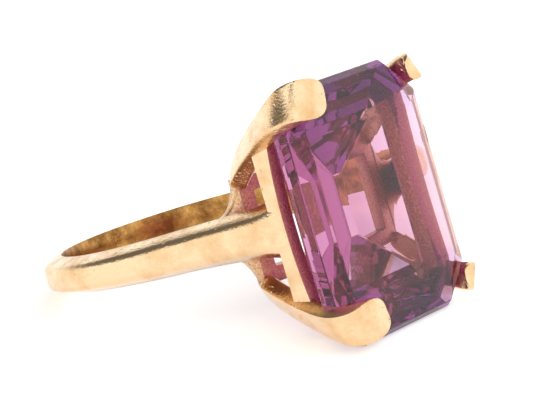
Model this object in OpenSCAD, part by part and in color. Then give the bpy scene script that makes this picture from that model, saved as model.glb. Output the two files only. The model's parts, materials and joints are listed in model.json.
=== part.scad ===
// Cocktail ring lying on its side: a step-cut stone in a four-claw open gallery on a tapered band.
// The pieces are drawn in the ring's own frame, then laid down together:
// X is the stone's facing direction, Z the finger's axis, Y across the finger.

/* [Finger] */
// Diameter of the finger hole
finger_d = 17.3; // [14:0.1:21]

/* [Band] */
// Width of the band along the finger
band_w = 2.4; // [1.8:0.1:3.6]
// Thickness of the band from finger to crest
band_t = 1.45; // [1.1:0.05:2.2]
// Height of the flat side wall under the band's rounded back
band_edge = 0.45; // [0.2:0.05:0.8]
// Angle from the stone's direction at which each shoulder leaves the band
shoulder_angle = 50; // [44:1:58]
// Width of a shoulder where it meets the head
shoulder_w = 3.3; // [2.6:0.1:4.2]
// Thickness of a shoulder where it meets the head
shoulder_t = 1.5; // [1.2:0.05:2]

/* [Gallery] */
// Length of the lower rail along the finger
lower_len = 7.4; // [6.4:0.1:8.6]
// Width of the lower rail across the finger
lower_wid = 7.6; // [6.8:0.1:8.6]
// Thickness of the lower rail away from the finger
lower_t = 1.25; // [1:0.05:1.6]
// Width of the lower rail's bars
lower_bar = 1.0; // [0.8:0.05:1.3]
// Height of the upper rail's finger side above the finger hole
upper_rise = 3.75; // [3.2:0.05:4.6]
// Height of the upper rail's wall
upper_h = 1.5; // [1:0.05:1.9]
// Thickness of the upper rail's wall
upper_bar = 0.95; // [0.7:0.05:1.3]
// How far the upper rail stands in from the stone's girdle
upper_inset = 0.65; // [0.4:0.05:1]
// Depth of the scallops in the upper rail's top edge
scallop_depth = 0.35; // [0.1:0.05:0.6]

/* [Stone] */
// Length of the stone along the finger
stone_len = 15.6; // [13:0.1:18]
// Width of the stone across the finger
stone_wid = 12.4; // [11:0.1:14]
// Setback of the stone's cut corners at the girdle
corner_cut = 2.2; // [1.4:0.1:2.8]
// Height of the girdle above the finger hole
girdle_rise = 6.85; // [6.4:0.05:8]
// Thickness of the girdle
girdle_t = 0.3; // [0.15:0.05:0.5]
// Height of the crown
crown_h = 0.97; // [0.7:0.01:1.4]
// Length of the table facet
table_len = 9.6; // [8:0.1:11]
// Width of the table facet
table_wid = 9.6; // [8:0.1:10]
// Depth of the pavilion below the girdle
pavilion_h = 4.9; // [4.2:0.1:5.4]

/* [Claws] */
// Width of a claw at its foot
claw_foot_w = 1.8; // [1.4:0.1:2.4]
// Width of a claw's pad over the stone
claw_pad_w = 2.5; // [1.8:0.1:3]
// Thickness of a claw
claw_t = 1.35; // [1:0.05:1.7]
// How far a claw's pad reaches in over the crown
claw_reach = 2.3; // [1.4:0.1:2.8]
// Overlap of the two claws on the far side [mm]
far_reach = 1.5; // [0.9:0.1:2.4]
// Width of the two far claws, as a share of the near ones
far_slim = 0.82; // [0.7:0.02:1]
// How far a claw stands above the table facet
claw_proud = 0.5; // [0.3:0.05:0.8]

/* [Hidden] */

gold = "#d8ad6a";
amethyst = "#8a3f8f";

$fn = 96;

finger_r = finger_d / 2;
band_r = finger_r + band_t;
girdle_x = finger_r + girdle_rise;
table_x = girdle_x + crown_h;
half_len = stone_len / 2;
half_wid = stone_wid / 2;

// ---- Section of band and shoulder -------------------------------------------------

section_steps = 12;

// Points [outward, along the finger] of a D section: flat sides, then half an ellipse
function d_section(w, t, edge) = concat(
    [[0, w / 2]],
    [for (i = [0 : section_steps])
        let (a = 90 - 180 * i / section_steps)
        [edge + (t - edge) * cos(a), w / 2 * sin(a)]],
    [[0, -w / 2]]);

// Rings of points joined by triangles, closed at both ends
module skin(rings) {
    m = len(rings[0]);
    n = len(rings);
    points = [for (r = rings) each r];
    sides = [for (i = [0 : n - 2], j = [0 : m - 1])
        let (a = i * m + j, b = i * m + (j + 1) % m)
        each [[a, b + m, b], [a, a + m, b + m]]];
    ends = [[for (j = [0 : m - 1]) j], [for (j = [m - 1 : -1 : 0]) (n - 1) * m + j]];
    polyhedron(points, concat(sides, ends));
}

// ---- Band -------------------------------------------------------------------------

// The band runs round the finger from one shoulder joint to the other
module shank_shape() {
    rotate([0, 0, shoulder_angle])
        rotate_extrude(angle = 360 - 2 * shoulder_angle)
            translate([finger_r, 0])
                polygon(d_section(band_w, band_t, band_edge));
}

// ---- Shoulders --------------------------------------------------------------------

shoulder_rings = 7;
upper_x = finger_r + upper_rise;
upper_y = half_wid - upper_inset;
upper_z = half_len - upper_inset;
// A shoulder's end lies against the upper rail's side, this far up it and standing this far out
lap_rise = 0.8;
lap_t = 0.45;

// Where a shoulder starts on the band and where it ends on the head, as [x, y] of its inner face
shoulder_from = finger_r * [cos(shoulder_angle), sin(shoulder_angle)];
shoulder_to = [upper_x + lap_rise, upper_y + lap_t - shoulder_t];
shoulder_out_from = [cos(shoulder_angle), sin(shoulder_angle)];
shoulder_out_to = [0, 1];

// One section of the shoulder, k from 0 at the band to 1 at the head
function shoulder_ring(k) =
    let (at = shoulder_from + (shoulder_to - shoulder_from) * k,
         raw = shoulder_out_from + (shoulder_out_to - shoulder_out_from) * k,
         out = raw / norm(raw),
         w = band_w + (shoulder_w - band_w) * k,
         t = band_t + (shoulder_t - band_t) * k)
    [for (p = d_section(w, t, band_edge))
        [at[0] + out[0] * p[0], -(at[1] + out[1] * p[0]), p[1]]];

module shoulder_shape() {
    difference() {
        skin([for (i = [0 : shoulder_rings]) shoulder_ring(i / shoulder_rings)]);
        upper_block();
    }
}

// ---- Rails ------------------------------------------------------------------------

// The rail's corners follow the stone's, less what its inset takes off them
upper_cut = corner_cut - upper_inset * (2 - sqrt(2)) - 0.2;

// An eight-sided outline [along the finger, across it]
function octagon(z, y, cut) = [
    [z, y - cut], [z - cut, y], [cut - z, y], [-z, y - cut],
    [-z, cut - y], [cut - z, -y], [z - cut, -y], [z, cut - y]];

// The upper rail's outline as a solid block, which claws and shoulders are filed to fit round
module upper_block() {
    translate([upper_x, 0, 0])
        rotate([0, 90, 0])
            linear_extrude(upper_h)
                polygon(octagon(upper_z, upper_y, upper_cut));
}

// The radius that gives a scallop its depth, from half its length
function scallop_r(half) = (half * half + scallop_depth * scallop_depth) / (2 * scallop_depth);

// A scallop ends this far short of the rail's corners
scallop_gap = 0.5;
scallop_len = upper_z - upper_cut - scallop_gap;
scallop_wid = upper_y - upper_cut - scallop_gap;

module upper_rail_shape() {
    top_x = upper_x + upper_h;
    long_r = scallop_r(scallop_len);
    short_r = scallop_r(scallop_wid);
    difference() {
        translate([upper_x, 0, 0])
            rotate([0, 90, 0])
                linear_extrude(upper_h)
                    difference() {
                        polygon(octagon(upper_z, upper_y, upper_cut));
                        polygon(octagon(upper_z - upper_bar, upper_y - upper_bar, upper_cut - upper_bar / 2));
                    }
        translate([top_x - scallop_depth + long_r, 0, 0])
            rotate([90, 0, 0])
                cylinder(r = long_r, h = 4 * upper_y, center = true, $fn = 180);
        translate([top_x - scallop_depth + short_r, 0, 0])
            cylinder(r = short_r, h = 4 * upper_z, center = true, $fn = 180);
        stone_shape();
    }
}

lower_x = finger_r + lower_t;
// A foot is this much narrower than the band it lies along, and this much lower than its rail
foot_margin = 0.2;
foot_drop = 1;
foot_w = band_w - foot_margin;
foot_top = lower_x - foot_drop;

// The lower rail's outline as a solid block
module lower_block() {
    intersection() {
        cylinder(r = lower_x, h = lower_len, center = true);
        translate([0, -lower_wid / 2, -lower_len / 2])
            cube([2 * lower_x, lower_wid, lower_len]);
    }
}

// The lower rail is arched to the finger, with a foot that tucks inside each shoulder
module lower_rail_shape() {
    difference() {
        lower_block();
        cylinder(r = finger_r, h = 2 * lower_len, center = true);
        translate([0, lower_bar - lower_wid / 2, lower_bar - lower_len / 2])
            cube([2 * lower_x, lower_wid - 2 * lower_bar, lower_len - 2 * lower_bar]);
    }
    for (side = [0, 1])
        mirror([0, side, 0])
            foot_shape();
}

foot_y = lower_wid / 2;
foot_x = sqrt(finger_r * finger_r - foot_y * foot_y);
shoulder_slope = (shoulder_to[1] - shoulder_from[1]) / (shoulder_to[0] - shoulder_from[0]);
foot_top_y = shoulder_from[1] + shoulder_slope * (foot_top - shoulder_from[0]);

// Wedge between the finger, the lower rail's side and the shoulder's inner face
module foot_shape() {
    difference() {
        translate([0, 0, -foot_w / 2])
            linear_extrude(foot_w)
                polygon([[shoulder_from[0], -shoulder_from[1]], [foot_x - foot_drop, -foot_y],
                         [foot_top, -foot_y], [foot_top, -foot_top_y]]);
        cylinder(r = finger_r, h = 2 * foot_w, center = true);
    }
}

// ---- Stone ------------------------------------------------------------------------

// The steps of the crown and the pavilion: share of the height, and setback from the girdle
crown_high = [0.9, table_len / 2 + 0.45 - half_len, table_wid / 2 + 0.1 - half_wid];
crown_low = [0.46, -0.35, -0.25];
pavilion_high = [0.26, -1.15];
pavilion_low = [0.6, -3.05];
// The blunt ridge along the bottom of the pavilion: half its width
keel = 0.35;

// Each level is [height from the girdle, half length, half width, corner setback]
stone_levels = [
    [crown_h, table_len / 2, table_wid / 2, corner_cut * 0.6],
    [crown_h * crown_high[0], half_len + crown_high[1], half_wid + crown_high[2], corner_cut * 0.68],
    [crown_h * crown_low[0], half_len + crown_low[1], half_wid + crown_low[2], corner_cut * 0.94],
    [0, half_len, half_wid, corner_cut],
    [-girdle_t, half_len, half_wid, corner_cut],
    [-girdle_t - pavilion_h * pavilion_high[0], half_len + pavilion_high[1],
        half_wid + pavilion_high[1], corner_cut * 0.9],
    [-girdle_t - pavilion_h * pavilion_low[0], half_len + pavilion_low[1],
        half_wid + pavilion_low[1], corner_cut * 0.6],
    [-girdle_t - pavilion_h, half_len - half_wid + keel, keel, keel * 0.6]];

function stone_ring(level) = [for (p = octagon(level[1], level[2], level[3]))
    [girdle_x + level[0], p[1], p[0]]];

module stone_shape() {
    skin([for (level = stone_levels) stone_ring(level)]);
}

// ---- Claws ------------------------------------------------------------------------

claw_sides = 14;
claw_lean = 28;
pad_x = table_x + claw_proud - claw_t / 2;
corner_y = half_wid - corner_cut / 2;
corner_z = half_len - corner_cut / 2;
foot_claw_x = finger_r + 0.15;

// The middle line of a claw, with its width: foot, bow, shoulder over the girdle, pad
function claw_line(slim, overlap) = [
    [foot_claw_x, lower_wid / 2 - 0.5, lower_len / 2 - 0.45, claw_foot_w * slim],
    [foot_claw_x + 0.8, lower_wid / 2 - 0.15, lower_len / 2 + 0.55, claw_foot_w * slim],
    [foot_claw_x + 2.1, lower_wid / 2 + 0.3, lower_len / 2 + 1.35, (claw_foot_w + 0.1) * slim],
    [upper_x - 0.1, upper_y - 0.75, upper_z - 1.3, (claw_foot_w + 0.2) * slim],
    [girdle_x - 1.4, corner_y + 0.1, corner_z - 0.35, (claw_foot_w + 0.35) * slim],
    [girdle_x - 0.1, corner_y + 0.45, corner_z, (claw_pad_w - 0.2) * slim],
    [pad_x - 0.35, corner_y + 0.3, corner_z + 0.05, claw_pad_w * slim],
    [pad_x, corner_y - 0.35, corner_z + 0.05, claw_pad_w * slim],
    [pad_x - 0.05, corner_y - max(0.6, overlap / 2), corner_z, (claw_pad_w - 0.1) * slim],
    [pad_x - 0.3, corner_y - overlap, corner_z - 0.05, claw_pad_w * 0.6 * slim]];

// Across the claw, turned from the finger's axis by its lean
claw_across = [0, sin(claw_lean), -cos(claw_lean)];

function at(line, i) = [line[i][0], line[i][1], line[i][2]];
function unit(v) = v / norm(v);
function flow(line, i) = unit(at(line, min(i + 1, len(line) - 1)) - at(line, max(i - 1, 0)));

// An oval across the claw's path
function claw_ring(line, i) =
    let (along = flow(line, i),
         across = unit(claw_across - (claw_across * along) * along),
         out = cross(along, across))
    [for (j = [0 : claw_sides - 1])
        let (a = 360 * j / claw_sides,
             side = cos(a) * line[i][3] / 2,
             rise = sin(a) * claw_t / 2)
        at(line, i) + across * side + out * rise];

function claw_rings(line) = [for (i = [0 : len(line) - 1]) claw_ring(line, i)];

near_rings = claw_rings(claw_line(1, claw_reach));
far_rings = claw_rings(claw_line(far_slim, far_reach));

module claw_shape(rings) {
    difference() {
        skin(rings);
        lower_block();
        upper_block();
        stone_shape();
    }
}

// ---- Laying the ring down ---------------------------------------------------------

// It rests on the band's back edge and the two foot claws. Heights are X sin(tip) + Z cos(tip).
function low_of(points, tip) = min([for (p = points) p[0] * sin(tip) + p[2] * cos(tip)]);
function far_of(points, tip) = max([for (p = points) p[0] * cos(tip) - p[2] * sin(tip)]);

foot_claw_points = [for (r = near_rings) each [for (p = r) [p[0], p[1], -p[2]]]];
stone_points = [for (level = stone_levels) each stone_ring(level)];

band_round = band_t - band_edge;
function band_low(tip) = -(finger_r + band_edge) * sin(tip)
    - sqrt(pow(band_round * sin(tip), 2) + pow(band_w / 2 * cos(tip), 2));
function band_back(tip) = -(finger_r + band_edge) * cos(tip)
    - sqrt(pow(band_round * cos(tip), 2) + pow(band_w / 2 * sin(tip), 2));

// Halve the range of angles until band and claws reach the same level
function find_tip(low, high, turns) =
    let (mid = (low + high) / 2)
    turns == 0 ? mid
    : low_of(foot_claw_points, mid) < band_low(mid) ? find_tip(mid, high, turns - 1)
    : find_tip(low, mid, turns - 1);

tip = find_tip(0, 40, 24);
lift = -band_low(tip);
reach = max(far_of(foot_claw_points, tip), far_of(stone_points, tip));
shift = -(band_back(tip) + reach) / 2;

module laid() {
    translate([shift, 0, lift])
        rotate([0, -tip, 0])
            children();
}

// ---- Pieces -----------------------------------------------------------------------

module shank() {
    color(gold) laid() shank_shape();
}

module near_shoulder() {
    color(gold) laid() shoulder_shape();
}

module far_shoulder() {
    color(gold) laid() mirror([0, 1, 0]) shoulder_shape();
}

module lower_rail() {
    color(gold) laid() lower_rail_shape();
}

module upper_rail() {
    color(gold) laid() upper_rail_shape();
}

module claw_near_top() {
    color(gold) laid() mirror([0, 1, 0]) claw_shape(near_rings);
}

module claw_near_foot() {
    color(gold) laid() mirror([0, 1, 0]) mirror([0, 0, 1]) claw_shape(near_rings);
}

module claw_far_top() {
    color(gold) laid() claw_shape(far_rings);
}

module claw_far_foot() {
    color(gold) laid() mirror([0, 0, 1]) claw_shape(far_rings);
}

module stone() {
    color(amethyst) laid() stone_shape();
}

shank();
near_shoulder();
far_shoulder();
lower_rail();
upper_rail();
claw_near_top();
claw_near_foot();
claw_far_top();
claw_far_foot();
stone();
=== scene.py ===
import json
import math

import bmesh
import bpy
from mathutils import Matrix, Vector


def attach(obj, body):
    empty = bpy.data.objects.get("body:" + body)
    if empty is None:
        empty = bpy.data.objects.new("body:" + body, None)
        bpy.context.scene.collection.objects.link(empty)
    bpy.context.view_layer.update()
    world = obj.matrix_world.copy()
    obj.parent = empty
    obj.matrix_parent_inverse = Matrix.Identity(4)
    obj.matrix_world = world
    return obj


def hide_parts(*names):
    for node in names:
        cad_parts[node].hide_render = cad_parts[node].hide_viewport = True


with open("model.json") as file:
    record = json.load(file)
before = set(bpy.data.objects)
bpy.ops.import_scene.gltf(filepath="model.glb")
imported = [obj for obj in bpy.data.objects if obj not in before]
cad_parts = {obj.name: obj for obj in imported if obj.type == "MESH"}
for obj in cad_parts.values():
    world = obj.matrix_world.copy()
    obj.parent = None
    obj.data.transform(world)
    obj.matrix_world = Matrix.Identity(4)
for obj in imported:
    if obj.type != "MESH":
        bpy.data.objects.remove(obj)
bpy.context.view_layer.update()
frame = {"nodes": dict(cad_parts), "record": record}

# The ring is modelled standing in its own frame, in millimetres: X is where the stone faces,
# Z the finger's axis, Y across the finger. Each finished piece is then laid down as the frame has it.
mount = frame["record"]["mounts"][0]
fingerAxis = Vector(mount["axis"])
facing = Vector((fingerAxis.z, 0, -fingerAxis.x))
layDown = (Matrix.Translation(mount["pos_m"])
           @ Matrix((facing, (0, 1, 0), fingerAxis)).transposed().to_4x4()
           @ Matrix.Scale(0.001, 4))
fingerRadius = mount["dims"]["r_mm"]


def ringBox(node):
    # lowest and highest corner of a CAD node in the ring's own frame
    back = layDown.inverted()
    corners = [back @ v.co for v in frame["nodes"][node].data.vertices]
    low = Vector([min(c[i] for c in corners) for i in range(3)])
    high = Vector([max(c[i] for c in corners) for i in range(3)])
    return low, high


def deselect():
    if bpy.context.object and bpy.context.object.mode == "EDIT":
        bpy.ops.object.mode_set(mode="OBJECT")
    bpy.ops.object.select_all(action="DESELECT")


def newest(name):
    piece = bpy.context.object
    piece.name = name
    piece.data.name = name
    return piece


def edit(piece):
    deselect()
    piece.select_set(True)
    bpy.context.view_layer.objects.active = piece
    bpy.ops.object.mode_set(mode="EDIT")


def pick(piece, kind, test):
    # select the verts, edges or faces of the piece in edit mode that pass the test
    bpy.ops.mesh.select_mode(type={"verts": "VERT", "edges": "EDGE", "faces": "FACE"}[kind])
    bpy.ops.mesh.select_all(action="DESELECT")
    mesh = bmesh.from_edit_mesh(piece.data)
    for item in getattr(mesh, kind):
        if test(item):
            item.select_set(True)
    mesh.select_flush_mode()
    bmesh.update_edit_mesh(piece.data)


def middle(edge):
    return (edge.verts[0].co + edge.verts[1].co) / 2


def along(edge):
    return (edge.verts[1].co - edge.verts[0].co).normalized()


def useModifier(piece, kind, **settings):
    deselect()
    piece.select_set(True)
    bpy.context.view_layer.objects.active = piece
    modifier = piece.modifiers.new(kind.title(), kind)
    for key, value in settings.items():
        setattr(modifier, key, value)
    bpy.ops.object.modifier_apply(modifier=modifier.name)


def cutAway(piece, cutter):
    useModifier(piece, "BOOLEAN", operation="DIFFERENCE", solver="EXACT", object=cutter)
    bpy.data.objects.remove(cutter)


def cleanUp(piece):
    edit(piece)
    bpy.ops.mesh.select_all(action="SELECT")
    bpy.ops.mesh.remove_doubles(threshold=0.0005)
    bpy.ops.mesh.normals_make_consistent(inside=False)
    bpy.ops.object.mode_set(mode="OBJECT")


def softenEdges(piece, width, segments=3, angle=35):
    useModifier(piece, "BEVEL", width=width, segments=segments, limit_method="ANGLE",
                angle_limit=math.radians(angle), harden_normals=False)


def section(name, width, height, corner, steps=3):
    # a rounded rectangle to loft with, its width along X and its height along Y
    deselect()
    bpy.ops.mesh.primitive_plane_add(size=1)
    ring = newest(name)
    ring.scale = (width, height, 1)
    bpy.ops.object.transform_apply(location=False, rotation=False, scale=True)
    edit(ring)
    bpy.ops.mesh.select_all(action="SELECT")
    bpy.ops.mesh.bevel(offset=corner, segments=steps, affect="VERTICES")
    bpy.ops.mesh.delete(type="ONLY_FACE")
    bpy.ops.object.mode_set(mode="OBJECT")
    return ring


def standAt(ring, places):
    copies = []
    for place in places:
        copy = ring.copy()
        copy.data = ring.data.copy()
        bpy.context.collection.objects.link(copy)
        copy.matrix_world = place
        copies.append(copy)
    bpy.data.objects.remove(ring)
    return copies


def loft(name, rings):
    # the sections are joined, each is bridged to the next, and the two ends are closed
    count = len(rings[0].data.vertices)
    bpy.context.view_layer.update()
    deselect()
    for ring in rings:
        ring.select_set(True)
    bpy.context.view_layer.objects.active = rings[0]
    bpy.ops.object.join()
    piece = newest(name)
    bpy.ops.object.transform_apply(location=True, rotation=True, scale=True)
    edit(piece)
    for i in range(len(rings) - 1):
        pick(piece, "verts", lambda v: i * count <= v.index < (i + 2) * count)
        bpy.ops.mesh.bridge_edge_loops()
    for end in (0, len(rings) - 1):
        pick(piece, "verts", lambda v: v.index // count == end)
        bpy.ops.mesh.edge_face_add()
    bpy.ops.object.mode_set(mode="OBJECT")
    cleanUp(piece)
    return piece


def placeAt(point, heading, across, width=1, height=1):
    # a section stands at the point, square to the heading, its width along across
    heading = heading.normalized()
    across = (across - across.dot(heading) * heading).normalized()
    up = heading.cross(across)
    turn = Matrix((across * width, up * height, heading)).transposed().to_4x4()
    return Matrix.Translation(point) @ turn


def copyPiece(piece, name, across=1):
    # across -1 mirrors the copy to the other side of the finger
    deselect()
    copy = piece.copy()
    copy.data = piece.data.copy()
    copy.name = name
    copy.data.name = name
    bpy.context.collection.objects.link(copy)
    copy.scale = (1, across, 1)
    copy.select_set(True)
    bpy.context.view_layer.objects.active = copy
    bpy.ops.object.transform_apply(location=False, rotation=False, scale=True)
    cleanUp(copy)
    return copy


def finishPiece(piece, node, material, smooth=40):
    # lay the piece down in place of its CAD node; smooth is in degrees, and 0 leaves every facet flat
    deselect()
    piece.select_set(True)
    bpy.context.view_layer.objects.active = piece
    piece.matrix_world = layDown
    bpy.ops.object.transform_apply(location=True, rotation=True, scale=True)
    if smooth:
        bpy.ops.object.shade_smooth_by_angle(angle=math.radians(smooth))
    else:
        bpy.ops.object.shade_flat()
    piece.data.materials.clear()
    piece.data.materials.append(material)
    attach(piece, "root")
    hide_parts(node)


def paintFaces(piece, material, test):
    # the faces of a finished piece that pass the test get another material: a buffed finish, or gold with
    # painted shade
    piece.data.materials.append(material)
    edit(piece)
    pick(piece, "faces", test)
    piece.active_material_index = len(piece.data.materials) - 1
    bpy.ops.object.material_slot_assign()
    bpy.ops.object.mode_set(mode="OBJECT")


def roundFinger(face):
    # faces the finger and lies within 0.2 mm of its hole, in metres as on a finished piece
    out = face.calc_center_median() - Vector(mount["pos_m"])
    out -= out.dot(fingerAxis) * fingerAxis
    return face.normal.dot(out.normalized()) < -0.5 and out.length < 0.001 * fingerRadius + 0.0002


def colour(hexCode):
    # sRGB hex to linear
    parts = [int(hexCode[i:i + 2], 16) / 255 for i in (1, 3, 5)]
    return [p / 12.92 if p <= 0.04045 else ((p + 0.055) / 1.055) ** 2.4 for p in parts] + [1]


def addNode(tree, kind, links=None, **settings):
    node = tree.nodes.new(kind)
    for key, value in settings.items():
        if key in node.inputs:
            node.inputs[key].default_value = value
        else:
            setattr(node, key, value)
    for socket, source in (links or {}).items():
        tree.links.new(source, node.inputs[socket])
    return node


def newMaterial(name):
    material = bpy.data.materials.new(name)
    material.use_nodes = True
    tree = material.node_tree
    tree.nodes.clear()
    return material, tree


goldLook = {
    "polished": "#f1d2a8",
    "worn": "#d3a267",
    # the gold round the finger, painted darker and browner as shade from the dark inside of the ring
    "shaded": "#cf9f5c",
    "shadedBrown": "#83592e",
    "cast": "#ecc793",
    "castBrown": "#c59a66",
    # painted shade for the gallery's corners and the faces behind the stone, tinted rose like the light
    # through the stone
    "cornerShade": "#b07074",
    "blotch": 1.8,  # mm across the patches where the polish has gone
    "scratch": 0.16,  # mm between hairline scratches, drawn coarser than real ones so that they show
    "pit": 0.45,  # mm between shallow pits
    "grain": 0.16,  # mm across a grain of the casting's skin, coarser than real for the same reason
}


def polishedGold():
    # 9 carat yellow gold, cast, buffed and then worn: the eye sees a near mirror on the crests, softened
    # by hairline scratches and shallow pits, with a darker bloom in patches where the polish has gone
    look = goldLook
    material, tree = newMaterial("worn polished yellow gold")
    place = addNode(tree, "ShaderNodeTexCoord").outputs["Object"]
    haze = addNode(tree, "ShaderNodeTexNoise", {"Vector": place}, Scale=1000 / look["blotch"], Detail=5,
                   Roughness=0.6)
    hair = addNode(tree, "ShaderNodeTexNoise", {"Vector": place}, Scale=1000 / look["scratch"], Detail=3)
    pits = addNode(tree, "ShaderNodeTexVoronoi", {"Vector": place}, Scale=1000 / look["pit"])
    pitted = addNode(tree, "ShaderNodeMapRange", {"Value": pits.outputs["Distance"]},
                     **{"From Min": 0.08, "From Max": 0.22, "To Min": 0, "To Max": 1})
    rough = addNode(tree, "ShaderNodeMapRange", {"Value": haze.outputs["Fac"]},
                    **{"From Min": 0.35, "From Max": 0.68, "To Min": 0.1, "To Max": 0.27})
    worn = addNode(tree, "ShaderNodeMapRange", {"Value": haze.outputs["Fac"]},
                   **{"From Min": 0.42, "From Max": 0.7, "To Min": 0, "To Max": 0.7})
    tint = addNode(tree, "ShaderNodeMix", {"Factor": worn.outputs["Result"]}, data_type="RGBA")
    tint.inputs[6].default_value = colour(look["polished"])
    tint.inputs[7].default_value = colour(look["worn"])
    height = addNode(tree, "ShaderNodeMath", {0: hair.outputs["Fac"], 1: haze.outputs["Fac"]},
                     operation="ADD")
    dents = addNode(tree, "ShaderNodeMath", {0: height.outputs[0], 1: pitted.outputs["Result"]},
                    operation="ADD")
    bump = addNode(tree, "ShaderNodeBump", {"Height": dents.outputs[0]}, Strength=0.6, Distance=0.00004)
    shader = addNode(tree, "ShaderNodeBsdfPrincipled",
                     {"Base Color": tint.outputs[2], "Roughness": rough.outputs["Result"],
                      "Normal": bump.outputs["Normal"]}, Metallic=1)
    addNode(tree, "ShaderNodeOutputMaterial", {"Surface": shader.outputs["BSDF"]})
    return material


def shadedGold():
    # The same gold round the finger, brushed and never buffed, so rougher than outside. Its amber colour,
    # blotched with brown and only half bright, is painted shade: the dark inside of the ring that these
    # faces reflect
    look = goldLook
    material, tree = newMaterial("shaded yellow gold inside")
    place = addNode(tree, "ShaderNodeTexCoord").outputs["Object"]
    haze = addNode(tree, "ShaderNodeTexNoise", {"Vector": place}, Scale=1000 / look["blotch"], Detail=6,
                   Roughness=0.7)
    brown = addNode(tree, "ShaderNodeMapRange", {"Value": haze.outputs["Fac"]},
                    **{"From Min": 0.4, "From Max": 0.62, "To Min": 0, "To Max": 1})
    tint = addNode(tree, "ShaderNodeMix", {"Factor": brown.outputs["Result"]}, data_type="RGBA")
    tint.inputs[6].default_value = colour(look["shaded"])
    tint.inputs[7].default_value = colour(look["shadedBrown"])
    bump = addNode(tree, "ShaderNodeBump", {"Height": haze.outputs["Fac"]}, Strength=0.5, Distance=0.00006)
    shader = addNode(tree, "ShaderNodeBsdfPrincipled",
                     {"Base Color": tint.outputs[2], "Normal": bump.outputs["Normal"]},
                     Metallic=1, Roughness=0.24)
    addNode(tree, "ShaderNodeOutputMaterial", {"Surface": shader.outputs["BSDF"]})
    return material


def castGold():
    # The gallery's gold, left as it was cast and filed: satin and speckled where it is open,
    # with painted shade in its corners and behind the stone, a dusky rose tinted like the light through the
    # stone
    look = goldLook
    material, tree = newMaterial("filed yellow gold casting with painted shade")
    place = addNode(tree, "ShaderNodeTexCoord").outputs["Object"]
    grain = addNode(tree, "ShaderNodeTexNoise", {"Vector": place}, Scale=1000 / look["grain"], Detail=6,
                    Roughness=0.65)
    rough = addNode(tree, "ShaderNodeMapRange", {"Value": grain.outputs["Fac"]},
                    **{"From Min": 0.35, "From Max": 0.65, "To Min": 0.2, "To Max": 0.42})
    speckle = addNode(tree, "ShaderNodeMapRange", {"Value": grain.outputs["Fac"]},
                      **{"From Min": 0.42, "From Max": 0.62, "To Min": 0, "To Max": 1})
    tint = addNode(tree, "ShaderNodeMix", {"Factor": speckle.outputs["Result"]}, data_type="RGBA")
    tint.inputs[6].default_value = colour(look["cast"])
    tint.inputs[7].default_value = colour(look["castBrown"])
    # painted shade: ambient occlusion picks out the corners and the faces behind the stone, and these are
    # painted the dusky rose
    hidden = addNode(tree, "ShaderNodeAmbientOcclusion", Distance=0.0035, samples=6)
    exposed = addNode(tree, "ShaderNodeMapRange", {"Value": hidden.outputs["AO"]},
                      **{"From Min": 0.3, "From Max": 0.9, "To Min": 0, "To Max": 1})
    shade = addNode(tree, "ShaderNodeMix", {"Factor": exposed.outputs["Result"]}, data_type="RGBA")
    shade.inputs[6].default_value = colour(look["cornerShade"])
    tree.links.new(tint.outputs[2], shade.inputs[7])
    bump = addNode(tree, "ShaderNodeBump", {"Height": grain.outputs["Fac"]}, Strength=0.6, Distance=0.00005)
    shader = addNode(tree, "ShaderNodeBsdfPrincipled",
                     {"Base Color": shade.outputs[2], "Roughness": rough.outputs["Result"],
                      "Normal": bump.outputs["Normal"]}, Metallic=1)
    addNode(tree, "ShaderNodeOutputMaterial", {"Surface": shader.outputs["BSDF"]})
    return material


stoneLook = {
    "middle": "#fff0f6",
    "ends": "#c6b2f8",  # the ends of the crystal are more violet
    "endFrom": 0.004,  # metres from the middle where that begins
    "endFull": 0.0068,
    "depth": "#d056b4",
    "density": 170,  # per metre
}


def cutAmethyst():
    # Amethyst, cut and polished in flat steps: glass clear with sharp reflections, lilac where
    # light passes once and burgundy where it has run back and forth inside
    look = stoneLook
    material, tree = newMaterial("step cut amethyst")
    place = addNode(tree, "ShaderNodeTexCoord").outputs["Object"]
    length = addNode(tree, "ShaderNodeVectorMath", {0: place}, operation="DOT_PRODUCT")
    length.inputs[1].default_value = fingerAxis
    fromMiddle = addNode(tree, "ShaderNodeMath", {0: length.outputs["Value"]}, operation="SUBTRACT")
    fromMiddle.inputs[1].default_value = Vector(mount["pos_m"]).dot(fingerAxis)
    away = addNode(tree, "ShaderNodeMath", {0: fromMiddle.outputs[0]}, operation="ABSOLUTE")
    violet = addNode(tree, "ShaderNodeMapRange", {"Value": away.outputs[0]},
                     **{"From Min": look["endFrom"], "From Max": look["endFull"], "To Min": 0, "To Max": 1})
    tint = addNode(tree, "ShaderNodeMix", {"Factor": violet.outputs["Result"]}, data_type="RGBA")
    tint.inputs[6].default_value = colour(look["middle"])
    tint.inputs[7].default_value = colour(look["ends"])
    shader = addNode(tree, "ShaderNodeBsdfPrincipled", {"Base Color": tint.outputs[2]},
                     IOR=1.544, Roughness=0.0)
    shader.inputs["Transmission Weight"].default_value = 1
    volume = addNode(tree, "ShaderNodeVolumeAbsorption", Density=look["density"])
    volume.inputs["Color"].default_value = colour(look["depth"])
    addNode(tree, "ShaderNodeOutputMaterial",
            {"Surface": shader.outputs["BSDF"], "Volume": volume.outputs["Volume"]})
    return material


goldShine = polishedGold()
goldCast = castGold()
goldShaded = shadedGold()
amethyst = cutAmethyst()
print("materials ready")

shankLow, shankHigh = ringBox("shank")
shoulderLow = ringBox("near_shoulder")[0]
band = {
    "width": 2 * shankHigh.z,
    "thick": -shankLow.x - fingerRadius,
    "face": 0.62,  # the outer face's share of the band's width
    "crown": 0.1,  # how far the outer face bulges
    "crownSpread": 0.3,  # the part of that face, to each side, which the bulge is rounded over
    "round": 0.3,  # rounding where the sloping side meets the outer face
    "rim": 0.08,
    "from": math.degrees(math.atan2(-shoulderLow.y, shoulderLow.x)),  # where a shoulder takes over
    "steps": 96,
    "flare": 0.12,  # how much wider the band is where it meets a shoulder
    "flareFrom": 0.55,  # the share of the way round to a shoulder where that begins
}


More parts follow.
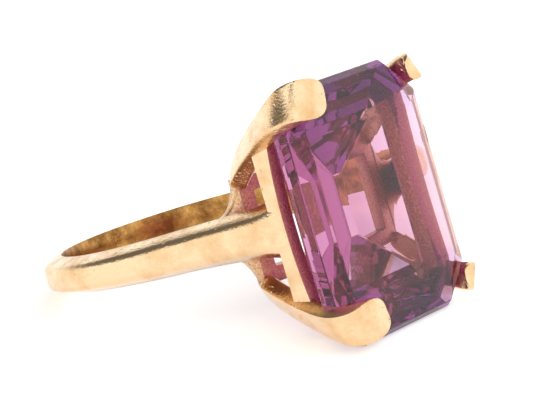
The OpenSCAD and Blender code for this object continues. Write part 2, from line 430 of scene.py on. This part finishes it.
def bandSection(width, thick):
    # low dome with sloping shoulders, flat to the finger, width along X and thickness along Y
    deselect()
    bpy.ops.mesh.primitive_plane_add(size=1, location=(0, 0.5, 0))
    ring = newest("band section")
    ring.scale = (width, thick - band["crown"], 1)
    bpy.ops.object.transform_apply(location=True, rotation=False, scale=True)
    ring.data.transform(Matrix.Translation((0, -min(v.co.y for v in ring.data.vertices), 0)))
    edit(ring)
    pick(ring, "verts", lambda v: v.co.y > 0.1)
    bpy.ops.transform.resize(value=(band["face"], 1, 1))
    pick(ring, "edges", lambda e: middle(e).y > 0.1 and abs(along(e).x) > 0.99)
    bpy.ops.mesh.subdivide(number_cuts=1)
    pick(ring, "verts", lambda v: v.co.y > 0.1 and abs(v.co.x) < 0.01)
    bpy.ops.transform.translate(value=(0, band["crown"], 0))
    bpy.ops.mesh.bevel(offset=band["crownSpread"] * width * band["face"], segments=4, affect="VERTICES")
    pick(ring, "verts", lambda v: v.co.y > 0.1 and abs(v.co.x) > 0.49 * width * band["face"])
    bpy.ops.mesh.bevel(offset=band["round"], segments=6, affect="VERTICES")
    pick(ring, "verts", lambda v: v.co.y < 0.01)
    bpy.ops.mesh.bevel(offset=band["rim"], segments=2, affect="VERTICES")
    bpy.ops.mesh.delete(type="ONLY_FACE")
    bpy.ops.object.mode_set(mode="OBJECT")
    return ring


def bandPlaces():
    places = []
    for i in range(band["steps"] + 1):
        share = i / band["steps"]
        angle = math.radians(band["from"] + share * (360 - 2 * band["from"]))
        out = Vector((math.cos(angle), math.sin(angle), 0))
        heading = Vector((-out.y, out.x, 0))
        end = abs(2 * share - 1)
        wide = 1 + band["flare"] * max(0, (end - band["flareFrom"]) / (1 - band["flareFrom"])) ** 2
        places.append(placeAt(out * fingerRadius, heading, Vector((0, 0, 1)), wide))
    return places


shank = loft("shank", standAt(bandSection(band["width"], band["thick"]), bandPlaces()))
finishPiece(shank, "shank", goldShine)
# the faces round the finger take the gold with painted shade
paintFaces(shank, goldShaded, roundFinger)
print("band ready")

stoneHigh = ringBox("stone")[1]
stone = {
    "halfLength": stoneHigh.z,
    "halfWidth": stoneHigh.y,
    "tableX": stoneHigh.x,
    "crownHeight": 0.97,
    "girdle": 0.3,
    "corner": 2.2,
    "arris": 0.045,  # the flat that polishing leaves along each edge, so that edges catch light
    # each outline is [rise or drop from the girdle, then how far in from it at ends, sides and corners]
    "crown": [(0, 0, 0, 0), (0.45, 0.35, 0.25, 0.3), (0.87, 2.55, 1.2, 1.35), (0.97, 3.0, 1.4, 1.6)],
    "pavilion": [(0, 0, 0, 0), (1.25, 1.15, 1.15, 1.05), (2.9, 3.05, 3.05, 2.85), (4.9, 5.85, 5.85, 5.3)],
}


def outline(x, ends, sides, corners):
    # the stone's eight-sided outline at height x, drawn in by these amounts
    halfLength, halfWidth = stone["halfLength"] - ends, stone["halfWidth"] - sides
    spare = stone["corner"] + math.sqrt(2) * corners - ends - sides
    ring = section("outline", 2 * halfLength, 2 * halfWidth, spare, 1)
    ring.matrix_world = Matrix(((0, 0, 1, x), (0, 1, 0, 0), (1, 0, 0, 0), (0, 0, 0, 1)))
    return ring


def makeStone():
    # every tier is a band of eight flat facets between two outlines
    girdleTop = stone["tableX"] - stone["crownHeight"]
    rings = [outline(girdleTop + rise, *insets) for rise, *insets in reversed(stone["crown"])]
    rings += [outline(girdleTop - stone["girdle"] - drop, *insets) for drop, *insets in stone["pavilion"]]
    return loft("stone", rings)


stonePiece = makeStone()
softenEdges(stonePiece, stone["arris"], segments=1, angle=3)
finishPiece(stonePiece, "stone", amethyst, smooth=0)
print("stone ready")

claw = {
    "lean": 30,  # degrees that a claw's width leans from the finger's axis
    "corner": 0.1,  # rounding of the strap's edges, as a share of its width
    # towards the foot the claws spread less, the near one least: scale and shift along the finger
    "nearFoot": (0.74, 1.02),
    "farFoot": (0.9, 0.4),
    "farSlim": 0.72,  # the far claws are lighter
    # each place is [height over the finger hole, across, along the finger, width, thickness]
    "stem": [
        (0.1, 3.75, 3.05, 1.45, 1.1),
        (0.9, 4.0, 3.75, 1.65, 1.1),
        (2.2, 4.4, 4.55, 1.8, 1.15),
        (4.2, 5.0, 5.55, 1.95, 1.15),
        (6.0, 5.55, 6.35, 2.15, 1.1),
        (7.0, 5.75, 6.75, 2.3, 1.05),
    ],
    "longPad": [
        (7.6, 5.5, 6.98, 2.4, 1.05),
        (7.9, 5.0, 7.06, 2.5, 1.05),
        (8.0, 4.4, 7.06, 2.5, 1.05),
        (7.98, 3.75, 7.0, 2.35, 1.0),
        (7.93, 3.25, 6.94, 1.95, 0.95),
        (7.9, 2.95, 6.9, 1.3, 0.85),
        (7.88, 2.83, 6.9, 0.7, 0.7),
    ],
    "shortPad": [
        (7.7, 5.85, 6.85, 2.5, 0.8),
        (8.0, 5.5, 6.75, 2.4, 0.65),
        (8.05, 5.15, 6.7, 2.0, 0.45),
        (7.95, 4.9, 6.65, 1.3, 0.3),
    ],
}


def makeClaw(name, pad, side, end):
    # side is -1 near and 1 far, end 1 top and -1 foot
    line = claw["stem"] + claw[pad]
    slim = claw["farSlim"] if side > 0 else 1
    scale, shift = claw["farFoot"] if side > 0 else claw["nearFoot"]
    points = []
    for x, y, z, width, thick in line:
        if end < 0:
            z = z * scale + shift
        points.append(Vector((fingerRadius + x, side * y, end * z)))
    lean = math.radians(claw["lean"])
    across = Vector((0, side * math.sin(lean), -end * math.cos(lean)))
    places = []
    for i, (*spot, width, thick) in enumerate(line):
        heading = points[min(i + 1, len(line) - 1)] - points[max(i - 1, 0)]
        places.append(placeAt(points[i], heading, across, width * slim, thick * slim))
    piece = loft(name, standAt(section("claw section", 1, 1, claw["corner"], 2), places))
    useModifier(piece, "SUBSURF", levels=2, render_levels=2)
    finishPiece(piece, name, goldShine)


makeClaw("claw_near_top", "longPad", -1, 1)
makeClaw("claw_near_foot", "longPad", -1, -1)
makeClaw("claw_far_top", "shortPad", 1, 1)
makeClaw("claw_far_foot", "shortPad", 1, -1)
print("claws ready")

# the shoulders end on the upper rail, so its sizes come before theirs
upperLow, upperHigh = ringBox("upper_rail")
upperRail = {
    "bar": 0.95,
    "farSeat": 0.8,  # the far bar is this much wider, and follows the stone down its pavilion
    "endShort": 0.4,  # how much shorter it is than its CAD node at each end
    "corner": 1.5,  # setback of the eight-sided outline's corners
    "scallop": 0.5,  # how far the rail's top edge dips between the claws
    "scallopShort": 0.2,  # how far inside the corners that dip ends
    "seatSize": 1.004,  # the seat is cut a hair larger than the stone, and a hair lower
    "seatDrop": 0.02,
    "soften": 0.07,
}

shoulder = {
    "straight": 2.6,  # how far it heads straight on from the band before it bends to the rail
    "endWidth": 3.35,
    "endThick": 1.3,
    "endProud": 0.05,  # how far its face stands out from the upper rail's
    "endShort": 0.12,  # how far it stops below the rail's dipped edge
    "fillet": 1.3,  # extra width where it runs out along the rail
    "filletFrom": 0.7,  # the share of its length where that begins
    "steps": 20,
}


def makeShoulder(name):
    startAngle = math.radians(band["from"])
    startOut = Vector((math.cos(startAngle), -math.sin(startAngle), 0))
    start = startOut * (fingerRadius + band["thick"])
    endX = upperHigh.x - upperRail["scallop"] - shoulder["endShort"]
    end = Vector((endX, upperLow.y - shoulder["endProud"], 0))
    bend = start + Vector((-startOut.y, startOut.x, 0)) * shoulder["straight"]
    startWidth = band["width"] * (1 + band["flare"])
    places = []
    for i in range(shoulder["steps"] + 1):
        share = i / shoulder["steps"]
        # the outer face runs along a quadratic curve that leaves the band straight on
        face = start * (1 - share) ** 2 + bend * 2 * share * (1 - share) + end * share ** 2
        heading = (bend - start) * (1 - share) + (end - bend) * share
        heading.normalize()
        out = Vector((heading.y, -heading.x, 0))
        wide = startWidth + (shoulder["endWidth"] - startWidth) * share ** 1.6
        runOut = max(0, (share - shoulder["filletFrom"]) / (1 - shoulder["filletFrom"]))
        wide += shoulder["fillet"] * runOut ** 2.5
        thick = band["thick"] + (shoulder["endThick"] - band["thick"]) * share
        places.append(placeAt(face - out * thick, heading, Vector((0, 0, 1)),
                              wide / band["width"], thick / band["thick"]))
    return loft(name, standAt(bandSection(band["width"], band["thick"]), places))


nearShoulder = makeShoulder("near_shoulder")
farShoulder = copyPiece(nearShoulder, "far_shoulder", -1)
finishPiece(nearShoulder, "near_shoulder", goldShine)
finishPiece(farShoulder, "far_shoulder", goldShine)
print("shoulders ready")


def makeUpperRail():
    look = upperRail
    size = upperHigh - upperLow
    centre = (upperHigh + upperLow) / 2
    deselect()
    bpy.ops.mesh.primitive_cube_add(size=1, location=centre)
    rail = newest("upper_rail")
    rail.scale = (size.x, size.y, size.z - 2 * look["endShort"])
    bpy.ops.object.transform_apply(location=True, rotation=False, scale=True)
    edit(rail)
    pick(rail, "edges", lambda e: abs(along(e).x) > 0.9)
    bpy.ops.mesh.bevel(offset=look["corner"], segments=1)
    pick(rail, "faces", lambda f: abs(f.normal.x) > 0.9)
    bpy.ops.mesh.inset(thickness=look["bar"])
    # the far bar's inner edge comes in under the stone
    innerY = upperHigh.y - look["bar"] + 0.01
    innerZ = upperHigh.z - look["endShort"] - 0.5
    pick(rail, "verts", lambda v: 0 < v.co.y < innerY and abs(v.co.z) < innerZ)
    bpy.ops.transform.translate(value=(0, -look["farSeat"], 0))
    # the window is opened right through
    pick(rail, "faces", lambda f: abs(f.normal.x) > 0.9 and f.calc_center_median().yz.length < 1)
    bpy.ops.mesh.bridge_edge_loops()
    bpy.ops.object.mode_set(mode="OBJECT")
    dip = look["scallop"]
    for reach, turn in ((upperHigh.z, (math.pi / 2, 0, 0)), (upperHigh.y, (0, 0, 0))):
        half = reach - look["corner"] - look["scallopShort"]
        radius = (half * half + dip * dip) / (2 * dip)
        deselect()
        bpy.ops.mesh.primitive_cylinder_add(vertices=256, radius=radius, depth=4 * upperHigh.z,
                                            location=(upperHigh.x - dip + radius, 0, 0), rotation=turn)
        cutAway(rail, newest("scallop"))
    seat = copyPiece(stonePiece, "seat")
    seat.data.transform(layDown.inverted())
    larger = Matrix.Diagonal((1, look["seatSize"], look["seatSize"], 1))
    seat.data.transform(Matrix.Translation((-look["seatDrop"], 0, 0)) @ larger)
    cutAway(rail, seat)
    softenEdges(rail, look["soften"], 2)
    finishPiece(rail, "upper_rail", goldCast)

    def buffed(face):
        # the two outer faces across the finger, which are buffed along with the band
        y = face.calc_center_median().y
        return face.normal.y * y > 0 and abs(face.normal.y) > 0.6 and abs(y) > 0.004

    paintFaces(rail, goldShine, buffed)


makeUpperRail()

lowerRail = {
    "thick": 1.25,
    "length": 3.35,  # half length along the finger
    "spread": 24.5,  # degrees round the finger to each side
    "bar": 0.95,
    "steps": 24,
    "recess": 0.32,  # depth of the sunk panel in each side
    "lip": 0.2,
    "soften": 0.06,
}

foot = {
    "from": 24,  # degrees round the finger where it leaves the rail
    "short": 1,  # degrees that it stops short of the band's end
    "steps": 16,
    "thin": 0.18,  # thickness at the band
    "swell": 1.1,  # how much thicker it is at the rail
    "width": 0.97,  # share of the band's width
    "spread": 3.9,  # how much wider it is at the rail
    "corner": 0.12,
    "lift": 0.01,  # keeps it just clear of the finger hole
}


def joinPieces(piece, other):
    deselect()
    other.select_set(True)
    piece.select_set(True)
    bpy.context.view_layer.objects.active = piece
    bpy.ops.object.join()
    return piece


def makeFoot(side):
    # a foot flows from the rail's side along the finger hole to the band
    start = math.radians(foot["from"])
    end = math.radians(band["from"] - foot["short"])
    places = []
    for i in range(foot["steps"] + 1):
        share = i / foot["steps"]
        angle = start + (end - start) * share
        out = Vector((math.cos(angle), side * math.sin(angle), 0))
        thick = foot["swell"] * (1 - share) ** 0.8 + foot["thin"]
        width = band["width"] * foot["width"] + foot["spread"] * (1 - share) ** 8
        heading = Vector((-out.y, out.x, 0)) * side
        middleOut = out * (fingerRadius + thick / 2 + foot["lift"])
        places.append(placeAt(middleOut, heading, Vector((0, 0, side)), width, thick))
    return loft("foot", standAt(section("foot section", 1, 1, foot["corner"], 2), places))


def makeLowerRail():
    look = lowerRail
    outer = fingerRadius + look["thick"]
    spread = math.radians(look["spread"])
    windowTurn = spread - look["bar"] / outer
    windowLength = look["length"] - look["bar"]

    def roundTurn(face):
        # how far round the finger a face stands
        centre = face.calc_center_median()
        return abs(math.atan2(centre.y, centre.x))

    def inWindow(face):
        return (abs(face.normal.z) < 0.1 and roundTurn(face) < windowTurn
                and abs(face.calc_center_median().z) < windowLength)

    def atEnd(face):
        return roundTurn(face) > spread - 0.005

    deselect()
    bpy.ops.mesh.primitive_plane_add(size=1, rotation=(math.pi / 2, 0, 0))
    rail = newest("lower_rail")
    rail.scale = (look["thick"], 2 * look["length"], 1)
    rail.location = (fingerRadius + look["thick"] / 2, 0, 0)
    bpy.ops.object.transform_apply(location=True, rotation=True, scale=True)
    edit(rail)
    bpy.ops.mesh.select_all(action="SELECT")
    for height in (windowLength, -windowLength):
        bpy.ops.mesh.bisect(plane_co=(0, 0, height), plane_no=(0, 0, 1))
        bpy.ops.mesh.select_all(action="SELECT")
    bpy.ops.object.mode_set(mode="OBJECT")
    rail.data.transform(Matrix.Rotation(spread, 4, "Z"))
    edit(rail)
    bpy.ops.mesh.select_all(action="SELECT")
    bpy.ops.mesh.spin(steps=look["steps"], angle=2 * spread, center=(0, 0, 0), axis=(0, 0, 1))
    cleanUp(rail)
    # open the window between the bars
    edit(rail)
    pick(rail, "faces", inWindow)
    bpy.ops.mesh.bridge_edge_loops()
    cleanUp(rail)
    # the flat ends across the finger are sunk panels with a lip
    edit(rail)
    pick(rail, "faces", atEnd)
    bpy.ops.mesh.dissolve_faces()
    pick(rail, "faces", atEnd)
    bpy.ops.mesh.inset(thickness=look["lip"], depth=-look["recess"])
    bpy.ops.object.mode_set(mode="OBJECT")
    softenEdges(rail, look["soften"], 2)
    for side in (1, -1):
        rail = joinPieces(rail, makeFoot(side))
    finishPiece(rail, "lower_rail", goldCast)
    # the faces round the finger take the gold with painted shade
    paintFaces(rail, goldShaded, roundFinger)


makeLowerRail()
print("gallery ready")

studio = {
    "floor": 4.0,  # metres each way
    "world": 1.3,
    "underlight": 0.45,  # the paper lies on a light table
    # dark openings of the tent: azimuth towards the near side, elevation, radius, brightness
    "openings": [(160, 58, 42, 0.14), (40, 42, 9, 0.3)],
}


def paperFloor():
    # Uncoated white paper: quite matt, and lit softly from below so that shadows stay pale
    material, tree = newMaterial("white paper sweep")
    shader = addNode(tree, "ShaderNodeBsdfPrincipled", Roughness=0.9)
    shader.inputs["Base Color"].default_value = colour("#fbfafa")
    shader.inputs["Specular IOR Level"].default_value = 0.1
    shader.inputs["Emission Color"].default_value = colour("#ffffff")
    shader.inputs["Emission Strength"].default_value = studio["underlight"]
    addNode(tree, "ShaderNodeOutputMaterial", {"Surface": shader.outputs["BSDF"]})
    return material


def makeStudio():
    deselect()
    bpy.ops.mesh.primitive_plane_add(size=studio["floor"])
    floor = newest("paper_floor")
    floor.data.materials.append(paperFloor())
    world = bpy.data.worlds.new("light tent")
    bpy.context.scene.world = world
    world.use_nodes = True
    tree = world.node_tree
    tree.nodes.clear()
    place = addNode(tree, "ShaderNodeTexCoord").outputs["Generated"]
    level = None
    for turn, rise, radius, dim in studio["openings"]:
        azimuth, elevation = math.radians(turn), math.radians(rise)
        facingIt = addNode(tree, "ShaderNodeVectorMath", {0: place}, operation="DOT_PRODUCT")
        facingIt.inputs[1].default_value = (math.cos(azimuth) * math.cos(elevation),
                                            -math.sin(azimuth) * math.cos(elevation), math.sin(elevation))
        ramp = addNode(tree, "ShaderNodeMapRange", {"Value": facingIt.outputs["Value"]},
                       interpolation_type="SMOOTHSTEP", **{
                           "From Min": math.cos(math.radians(radius * 1.2)),
                           "From Max": math.cos(math.radians(radius * 0.8)),
                           "To Min": 1, "To Max": dim})
        result = ramp.outputs["Result"]
        if level:
            result = addNode(tree, "ShaderNodeMath", {0: level, 1: result}, operation="MULTIPLY").outputs[0]
        level = result
    light = addNode(tree, "ShaderNodeBackground", {"Color": level}, Strength=studio["world"])
    addNode(tree, "ShaderNodeOutputWorld", {"Surface": light.outputs["Background"]})


makeStudio()

view = {
    "lens": 146.9,
    "aim": (6.31, 0.89, 0.92),  # mm, in the ring's own frame, as the angles are
    "distance": 137.44,
    "azimuth": 44.81,  # degrees from the stone's facing direction towards the near side
    "elevation": 5.46,
    "roll": 16.38,
}


def makeCamera():
    azimuth, elevation = math.radians(view["azimuth"]), math.radians(view["elevation"])
    towards = Vector((math.cos(azimuth) * math.cos(elevation), -math.sin(azimuth) * math.cos(elevation),
                      math.sin(elevation)))
    camera = bpy.data.objects.new("camera", bpy.data.cameras.new("camera"))
    bpy.context.collection.objects.link(camera)
    camera.data.lens = view["lens"]
    camera.data.sensor_width = 36
    camera.data.clip_start = 0.01
    turn = towards.to_track_quat("Z", "Y").to_matrix().to_4x4()
    roll = Matrix.Rotation(-math.radians(view["roll"]), 4, "Z")
    place = layDown @ Matrix.Translation(Vector(view["aim"]) + towards * view["distance"]) @ turn @ roll
    where, turned = place.decompose()[:2]
    camera.matrix_world = Matrix.LocRotScale(where, turned, None)
    bpy.context.scene.camera = camera


makeCamera()
scene = bpy.context.scene
scene.view_settings.view_transform = "Standard"
# light runs back and forth inside the stone many times before it comes out
scene.cycles.max_bounces = 24
scene.cycles.glossy_bounces = 24
scene.cycles.transmission_bounces = 24
print("studio ready")
